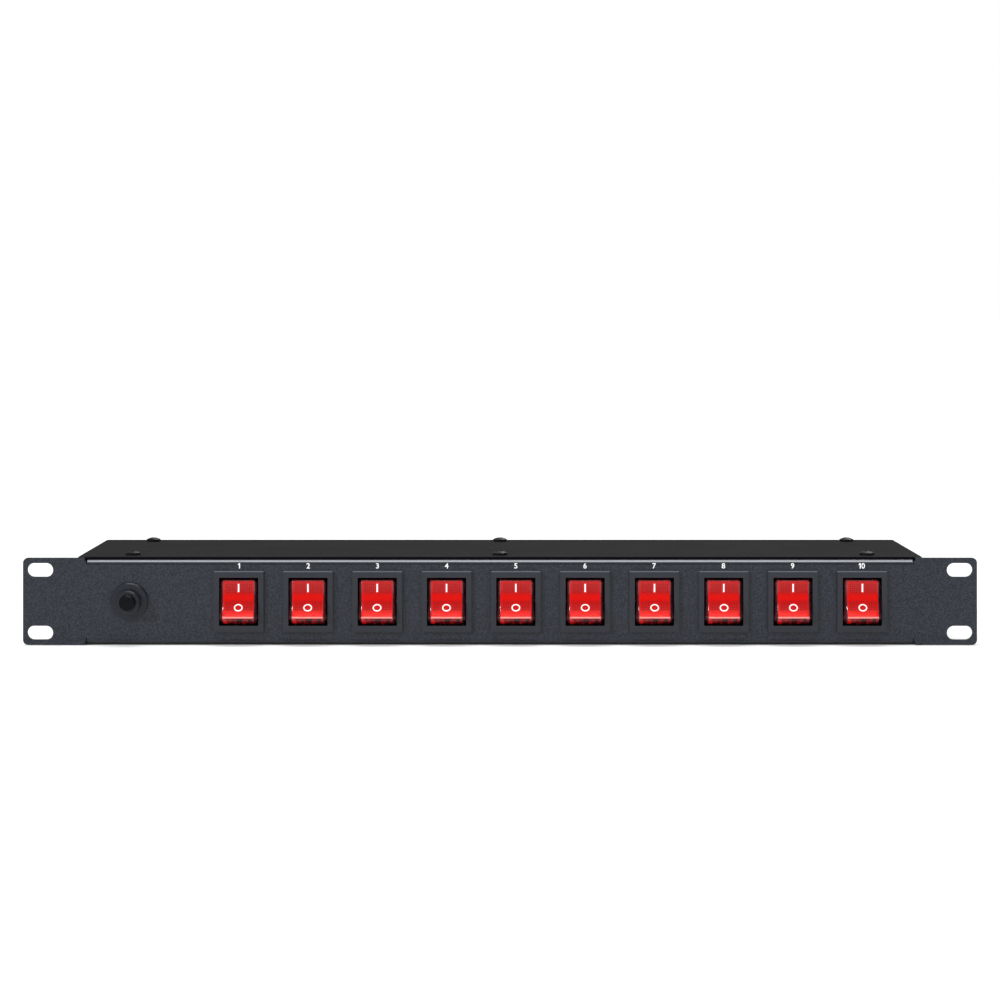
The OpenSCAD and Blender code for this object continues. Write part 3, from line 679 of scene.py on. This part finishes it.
cad("supply_leads", brown_mat)
cad("live_bus", brown_mat)
cad("switched_wires", red_mat)
cad("lamp_wires", blue_mat)
cad("neutral_bus", brass_mat, 0.1)
cad("earth_bus", brass_mat, 0.1)
cad("earth_stud", tinned_mat, 0.15)
cad("plug_pins", brass_mat, 0.3)

# ---------------------------------------------------------------- rockers
PIV_Y = 1.3
TILT = -11.0
FR, FC = 28.7, -34.9


def rocker_profile():
    pts = []
    for k in range(15):
        a = math.radians(-12 + 52 * k / 14)
        pts.append((-12 * math.sin(a), 12 * math.cos(a), "end"))
    for k in range(41):
        b = math.radians(18.68 - 37.36 * k / 40)
        pts.append((FC + FR * math.cos(b), FR * math.sin(b), "face"))
    for k in range(15):
        a = math.radians(40 - 52 * k / 14)
        pts.append((-12 * math.sin(a), -12 * math.cos(a), "end"))
    out = []
    corners = [(pts[14][0], pts[14][1]), (pts[55][0], pts[55][1])]
    for p in pts:
        if all(math.dist(p[:2], c) > 0.62 for c in corners):
            out.append(p)
    res = []
    for i, p in enumerate(out):
        res.append(p)
        if i + 1 < len(out) and p[2] != out[i + 1][2]:
            c = min(corners, key=lambda q: math.dist(q, p[:2]))
            q = out[i + 1]
            for j in range(1, 7):
                t = j / 7
                y = (1 - t) ** 2 * p[0] + 2 * t * (1 - t) * c[0] + t * t * q[0]
                z = (1 - t) ** 2 * p[1] + 2 * t * (1 - t) * c[1] + t * t * q[1]
                res.append((y, z, "face"))
    return res


def rocker_mesh():
    prof = rocker_profile()
    n = len(prof)
    nrm = []
    for i in range(n):
        a, b = prof[max(i - 1, 0)], prof[min(i + 1, n - 1)]
        dy, dz = b[0] - a[0], b[1] - a[1]
        l = math.hypot(dy, dz)
        nrm.append((dz / l, -dy / l))  # left normal of the run top -> bottom
    # the outward side is -Y on the face
    s = -1 if nrm[n // 2][0] > 0 else 1
    half = [(9.5, 2.1), (9.42, 1.7), (9.12, 1.2), (8.3, 0.42), (8.05, 0.14), (7.8, 0.0)]
    cols = [(-x, i) for x, i in half] + [(x, 0.0) for x in (-6.5, -4.5, -2.5, -0.8, 0.8, 2.5, 4.5, 6.5)] + [(x, i) for x, i in half[::-1]]
    bm = bmesh.new()
    uv = bm.loops.layers.uv.new("face")
    grid = []
    for (y, z, _), (ny, nz) in zip(prof, nrm):
        row = []
        for x, inset in cols:
            yy, zz = y - s * ny * inset, z - s * nz * inset
            row.append((bm.verts.new((x * MM, yy * MM, zz * MM)), x, z))
        grid.append(row)
    for i in range(n - 1):
        for k in range(len(cols) - 1):
            q = [grid[i][k], grid[i + 1][k], grid[i + 1][k + 1], grid[i][k + 1]]
            f = bm.faces.new([v[0] for v in q])
            side = k < 5 or k >= len(cols) - 6
            end = prof[i][2] == "end" and prof[i + 1][2] == "end"
            f.material_index = 1 if side else (2 if end else 0)
            for lp, v in zip(f.loops, q):
                lp[uv].uv = (0.5 + v[1] / 20, 0.5 + v[2] / 24)
    for k in (0, len(cols) - 1):
        f = bm.faces.new([row[k][0] for row in grid])
        f.material_index = 1
    # hollow inside of the shell
    inner = []
    for k in range(9):
        a = math.radians(-13.6 + 48.0 * k / 8)
        inner.append((-10.6 * math.sin(a), 10.6 * math.cos(a)))
    for k in range(1, 16):
        b = math.radians(16.83 - 33.66 * k / 16)
        inner.append((FC + 30.2 * math.cos(b), 30.2 * math.sin(b)))
    for k in range(9):
        a = math.radians(34.4 - 48.0 * k / 8)
        inner.append((-10.6 * math.sin(a), -10.6 * math.cos(a)))
    il = [bm.verts.new((-8.1 * MM, y * MM, z * MM)) for y, z in inner]
    ir = [bm.verts.new((8.1 * MM, y * MM, z * MM)) for y, z in inner]
    fs = [bm.faces.new((il[k], ir[k], ir[k + 1], il[k + 1])) for k in range(len(inner) - 1)]
    fs += [bm.faces.new(il), bm.faces.new(ir)]
    top, bot = [v[0] for v in grid[0]], [v[0] for v in grid[-1]]
    fs += [bm.faces.new(top + [ir[0], il[0]]), bm.faces.new(bot + [ir[-1], il[-1]]),
           bm.faces.new((top[0], bot[0], il[-1], il[0])), bm.faces.new((top[-1], bot[-1], ir[-1], ir[0]))]
    for f in fs:
        f.material_index = 2
    bmesh.ops.recalc_face_normals(bm, faces=bm.faces)
    # stem and pivot stubs
    lathe(bm, [(-5.4, 2.0), (12.6, 2.0), (13.4, 1.96), (14.2, 1.6), (14.75, 0.95), (15.0, 0.1)], (0, 0, 0), (0, 1, 0), 24, mat=2)
    for sgn in (1, -1):
        lathe(bm, [(9.0, 1.5), (10.35, 1.5), (10.6, 1.25)], (0, 0, 0), (sgn, 0, 0), 24, mat=2)
    me = bpy.data.meshes.new("rocker")
    bm.to_mesh(me)
    bm.free()
    for mt in (rocker_mat, edge_mat, end_mat):
        me.materials.append(mt)
    for p in me.polygons:
        p.use_smooth = True
    me.set_sharp_from_angle(angle=math.radians(38))
    return me


def face_y(z):
    return FC + math.sqrt(FR * FR - z * z)


def on_face(x, z, lift):
    y = face_y(z)
    ny, nz = (y - FC) / FR, z / FR
    return Vector((x, y - lift * ny, z - lift * nz)) * MM


def mark_mesh(outline_fn, name):
    """Thin printed mark that follows the hollow face."""
    bm = bmesh.new()
    outline_fn(bm)
    bmesh.ops.recalc_face_normals(bm, faces=bm.faces)
    me = bpy.data.meshes.new(name)
    bm.to_mesh(me)
    bm.free()
    me.materials.append(print_mat)
    return me


def strip(bm, pts_in, pts_out, closed):
    lift_lo, lift_hi = -0.02, 0.045
    n = len(pts_in)
    v = [[bm.verts.new(on_face(x, z, l)) for (x, z) in pts] for pts in (pts_in, pts_out) for l in (lift_lo, lift_hi)]
    il, ih, ol, oh = v
    rng = range(n if closed else n - 1)
    for k in rng:
        j = (k + 1) % n
        for a, b in ((ih, oh), (ol, il), (oh, ol), (il, ih)):
            bm.faces.new((a[k], a[j], b[j], b[k]))
    if not closed:
        for k in (0, n - 1):
            bm.faces.new((il[k], ih[k], oh[k], ol[k]))


def bar(bm):
    zs = [3.8 + 4.1 * k / 12 for k in range(13)]
    strip(bm, [(-0.37, z) for z in zs], [(0.37, z) for z in zs], False)


def ring(bm):
    c = -4.1
    strip(bm, [(1.62 * math.cos(a), c + 1.3 * math.sin(a)) for a in [2 * math.pi * k / 40 for k in range(40)]],
          [(2.2 * math.cos(a), c + 1.86 * math.sin(a)) for a in [2 * math.pi * k / 40 for k in range(40)]], True)


rk_mesh = rocker_mesh()
bar_mesh, ring_mesh = mark_mesh(bar, "mark_on"), mark_mesh(ring, "mark_off")
for i in range(N):
    mw = Matrix.Translation(Vector((SX[i], PIV_Y, 0)) * MM) @ Matrix.Rotation(math.radians(TILT), 4, "X")
    body = "rocker_%02d" % (i + 1)
    for nm, me, sl in (("rocker_cap_%02d", rk_mesh, "rocker_red"), ("mark_on_%02d", bar_mesh, None), ("mark_off_%02d", ring_mesh, None)):
        o = bpy.data.objects.new(nm % (i + 1), me)
        scene.collection.objects.link(o)
        o.matrix_world = mw
        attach(o, body)
        if sl:
            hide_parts(body)


# ---------------------------------------------------------------- printing
def text_mesh(name, body, size, mat, thick=0.05, bold=0.0, spacing=1.0):
    c = bpy.data.curves.new(name, "FONT")
    c.body = body
    c.size = size * MM
    c.align_x = "CENTER"
    c.align_y = "CENTER"
    c.extrude = thick * MM / 2
    c.offset = bold * MM
    c.space_character = spacing
    c.resolution_u = 6
    o = bpy.data.objects.new(name, c)
    scene.collection.objects.link(o)
    bpy.context.view_layer.update()
    me = bpy.data.meshes.new_from_object(o.evaluated_get(bpy.context.evaluated_depsgraph_get()))
    bpy.data.objects.remove(o)
    me.materials.clear()
    me.materials.append(mat)
    # centre the drawn outline exactly
    xs = [v.co.x for v in me.vertices]
    ys = [v.co.y for v in me.vertices]
    me.transform(Matrix.Translation((-(min(xs) + max(xs)) / 2, -(min(ys) + max(ys)) / 2, 0)))
    return me, max(ys) - min(ys)


def numeral_mesh(name, digits, mat, bold):
    """Digits at one height, with a flagged 1 drawn from a listed outline."""
    bm = bmesh.new()
    x = 0.0
    for d in digits:
        part = bmesh.new()
        if d == "1":
            outline = [(0.28, -0.5), (0.28, 0.5), (0.10, 0.5), (-0.12, 0.30), (-0.12, 0.14), (0.08, 0.22), (0.08, -0.5)]
            vs = [part.verts.new((px * 2.8 * MM, pz * 2.8 * MM, -0.025 * MM)) for px, pz in outline]
            f = part.faces.new(vs)
            r = bmesh.ops.extrude_face_region(part, geom=[f])
            bmesh.ops.translate(part, vec=(0, 0, 0.05 * MM), verts=[v for v in r["geom"] if isinstance(v, bmesh.types.BMVert)])
            bmesh.ops.triangulate(part, faces=part.faces)
        else:
            me, h = text_mesh(name + "_d", d, 4.0, mat, 0.05, bold)
            me.transform(Matrix.Diagonal((2.8 * MM / h, 2.8 * MM / h, 1, 1)))
            part.from_mesh(me)
            bpy.data.meshes.remove(me)
        lo, hi = min(v.co.x for v in part.verts), max(v.co.x for v in part.verts)
        bmesh.ops.translate(part, vec=(x - lo, 0, 0), verts=part.verts)
        tmp = bpy.data.meshes.new("tmp")
        part.to_mesh(tmp)
        part.free()
        bm.from_mesh(tmp)
        bpy.data.meshes.remove(tmp)
        x += hi - lo + 0.32 * MM
    mid = (x - 0.32 * MM) / 2
    bmesh.ops.translate(bm, vec=(-mid, 0, 0), verts=bm.verts)
    bmesh.ops.recalc_face_normals(bm, faces=bm.faces)
    me = bpy.data.meshes.new(name)
    bm.to_mesh(me)
    bm.free()
    me.materials.append(mat)
    return me, 2.8 * MM


FRONT = Matrix.Rotation(math.radians(90), 4, "X")
REAR = Matrix.Rotation(math.radians(180), 4, "Z") @ Matrix.Rotation(math.radians(90), 4, "X")


def put(name, me, pos, face, body=CASE, height=None):
    k = 1.0 if height is None else height[0] * MM / height[1]
    o = bpy.data.objects.new(name, me)
    scene.collection.objects.link(o)
    o.matrix_world = Matrix.Translation(Vector(pos) * MM) @ face @ Matrix.Diagonal((k, k, 1, 1))
    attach(o, body)
    return o


def disc_mesh(name, r0, r1, thick, mat, n=56):
    bm = bmesh.new()
    if r0 <= 0:
        add_ring_mesh(bm, [[Vector((r * math.cos(2 * math.pi * k / n), r * math.sin(2 * math.pi * k / n), z)) * MM for k in range(n)] for r, z in ((r1, -thick / 2), (r1, thick / 2))])
    else:
        rings = [[Vector((r * math.cos(2 * math.pi * k / n), r * math.sin(2 * math.pi * k / n), z)) * MM for k in range(n)] for r, z in ((r0, -thick / 2), (r1, -thick / 2), (r1, thick / 2), (r0, thick / 2), (r0, -thick / 2))]
        add_ring_mesh(bm, rings, cap=False)
        bmesh.ops.remove_doubles(bm, verts=bm.verts, dist=1e-7)
    bmesh.ops.recalc_face_normals(bm, faces=bm.faces)
    me = bpy.data.meshes.new(name)
    bm.to_mesh(me)
    bm.free()
    me.materials.append(mat)
    return me


white_disc = disc_mesh("number_disc", 0, 2.9, 0.06, print_mat)
dark_ring = disc_mesh("number_ring", 2.9, 3.25, 0.05, ring_ink_mat)
for i in range(N):
    me, h = numeral_mesh("numeral_%02d" % (i + 1), str(i + 1), print_mat, 0.07)
    put("switch_number_%02d" % (i + 1), me, (SX[i], -2.02, 18.0), FRONT, height=(2.75, h))
    put("outlet_disc_%02d" % (i + 1), white_disc, (OX[i], 100.02, 16.4), REAR)
    put("outlet_ring_%02d" % (i + 1), dark_ring, (OX[i], 100.02, 16.4), REAR)
    me, h = numeral_mesh("outlet_numeral_%02d" % (i + 1), str(i + 1), ink_mat, 0.05)
    put("outlet_number_%02d" % (i + 1), me, (OX[i], 100.06, 16.4), REAR, height=(2.9, h))

me, h = text_mesh("earth_word", "EARTH", 4.0, print_mat, 0.05, 0.1, 1.05)
put("earth_word", me, (-163.7, 100.02, 6.7), REAR, height=(2.8, h))


def earth_symbol():
    bm = bmesh.new()

    def slab(x0, x1, z0, z1):
        v = [bm.verts.new(Vector(p) * MM) for p in ((x0, z0, -0.025), (x1, z0, -0.025), (x1, z1, -0.025), (x0, z1, -0.025), (x0, z0, 0.025), (x1, z0, 0.025), (x1, z1, 0.025), (x0, z1, 0.025))]
        for f in ((0, 3, 2, 1), (4, 5, 6, 7), (0, 1, 5, 4), (1, 2, 6, 5), (2, 3, 7, 6), (3, 0, 4, 7)):
            bm.faces.new([v[i] for i in f])

    slab(-0.35, 0.35, 0.95, 2.7)
    slab(-2.6, 2.6, 0.3, 0.95)
    slab(-1.8, 1.8, -0.95, -0.3)
    slab(-0.95, 0.95, -2.2, -1.55)
    me = bpy.data.meshes.new("earth_symbol")
    bm.to_mesh(me)
    bm.free()
    me.materials.append(print_mat)
    return me


put("earth_symbol", earth_symbol(), (-163.7, 100.02, -6.8), REAR)

# ---------------------------------------------------------------- floor, light
bm = bmesh.new()
S = 60.0
vs = [bm.verts.new(p) for p in ((-S, -S, FLOOR * MM - 0.0001), (S, -S, FLOOR * MM - 0.0001), (S, S, FLOOR * MM - 0.0001), (-S, S, FLOOR * MM - 0.0001))]
bm.faces.new(vs)
me = bpy.data.meshes.new("floor")
bm.to_mesh(me)
bm.free()
fm = Mat("floor", (0.9, 0.9, 0.9, 1), 0.9)
fm.b.inputs["Emission Color"].default_value = (1, 1, 1, 1)
fm.b.inputs["Emission Strength"].default_value = 0.12
fm.color(fm.ramp(fm.noise(3, 2, 0.5), [(0.3, (0.88, 0.88, 0.88, 1)), (0.7, (0.92, 0.92, 0.92, 1))]))
away = fm.n("ShaderNodeVectorMath", operation="LENGTH")
fm.link(fm.coords(), away.inputs[0])
fm.link(fm.math("ADD", fm.math("MULTIPLY", fm.math("DIVIDE", fm.math("SUBTRACT", away.outputs["Value"], 0.5), 1.2, clamp=True), 0.5), 0.12), fm.b.inputs["Emission Strength"])
me.materials.append(fm.m)
floor = bpy.data.objects.new("floor", me)
scene.collection.objects.link(floor)


def area(name, pos, target, size, power, size_y=None):
    l = bpy.data.lights.new(name, "AREA")
    l.energy = power
    l.size = size
    if size_y:
        l.shape = "RECTANGLE"
        l.size_y = size_y
    o = bpy.data.objects.new(name, l)
    scene.collection.objects.link(o)
    o.location = pos
    o.rotation_euler = (Vector(target) - Vector(pos)).to_track_quat("-Z", "Y").to_euler()
    return o


def sun(name, toward, power, angle):
    l = bpy.data.lights.new(name, "SUN")
    l.energy = power
    l.angle = math.radians(angle)
    o = bpy.data.objects.new(name, l)
    scene.collection.objects.link(o)
    o.rotation_euler = Vector(toward).to_track_quat("-Z", "Y").to_euler()
    return o


sun("key_left", (0.8, 0.7, -0.55), 1.75, 6)
sun("sky_front", (0.1, 0.75, -1.0), 0.1, 60)
sun("sky_rear", (-0.35, -0.8, -0.9), 0.95, 24)
area("strip_over", (0, -0.12, 1.15), (0, 0, 0), 1.0, 8.0, 0.26)
area("strip_front", (0, -1.1, 1.18), (0, 0, 0), 1.0, 2.4, 0.18)
area("strip_rear", (0, 1.2, 1.2), (0, 0.1, 0), 1.0, 2.4, 0.18)

# white surround for the eye, softer light from it on the object
world = bpy.data.worlds.new("world")
scene.world = world
world.use_nodes = True
wt = world.node_tree
bg = wt.nodes["Background"]
bg.inputs["Color"].default_value = (1, 1, 1, 1)
lp = wt.nodes.new("ShaderNodeLightPath")
mx = wt.nodes.new("ShaderNodeMapRange")
wt.links.new(lp.outputs["Is Camera Ray"], mx.inputs["Value"])
mx.inputs["To Min"].default_value = 0.32
mx.inputs["To Max"].default_value = 1.0
wt.links.new(mx.outputs["Result"], bg.inputs["Strength"])
